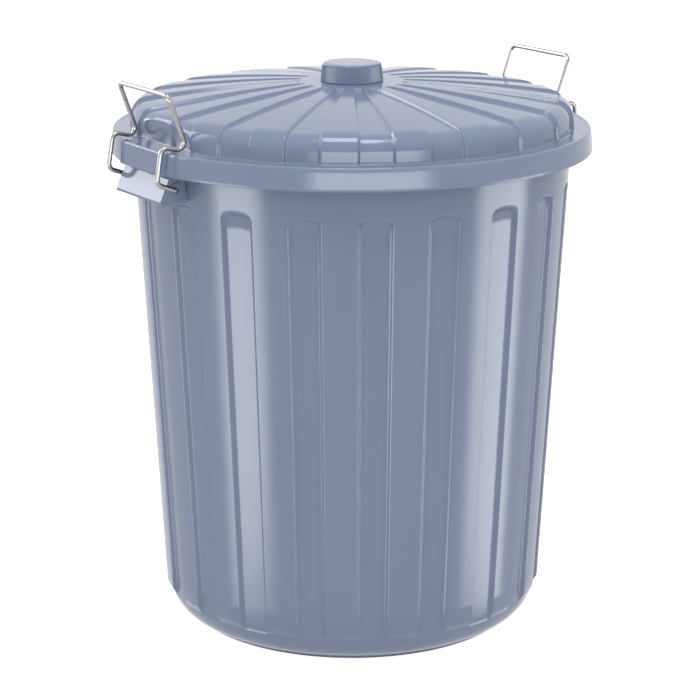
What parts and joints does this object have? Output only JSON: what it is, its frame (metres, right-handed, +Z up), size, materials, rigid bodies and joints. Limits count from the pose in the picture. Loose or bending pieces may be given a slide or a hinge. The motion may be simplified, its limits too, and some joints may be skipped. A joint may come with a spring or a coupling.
{
  "type": "round bin with clip-on lid",
  "caption": "Round tapered refuse bin with panelled walls, domed grooved lid, ribbed knob and wire side clips that lock the lid.",
  "frame": {"origin": "on the floor, at the centre of the foot ring", "axes": "+Z up along the bin's axis; the wire clips are at +X and -X"},
  "size_m": [0.5208, 0.5, 0.5903],
  "materials": {
    "polypropylene": "glossy moulded, blue-grey",
    "plated_wire": "bright plated steel wire"
  },
  "bodies": {
    "bin": {"bin_body": "polypropylene"},
    "lid": {"lid": "polypropylene", "lid_knob": "polypropylene"},
    "right_clip": {"right_clip": "plated_wire"},
    "left_clip": {"left_clip": "plated_wire"}
  },
  "joints": [
    {"name": "lid_lift", "type": "slide", "parent": "bin", "child": "lid", "axis": [0, 0, 1], "range_m": [0, 0.001]},
    {"name": "right_clip_hinge", "type": "hinge", "parent": "bin", "child": "right_clip", "pos_m": [0.23504, 0, 0.4882], "axis": [0, 1, 0], "range_deg": [0, 143]},
    {"name": "left_clip_hinge", "type": "hinge", "parent": "bin", "child": "left_clip", "pos_m": [-0.23504, 0, 0.4882], "axis": [0, -1, 0], "range_deg": [0, 143]}
  ]
}
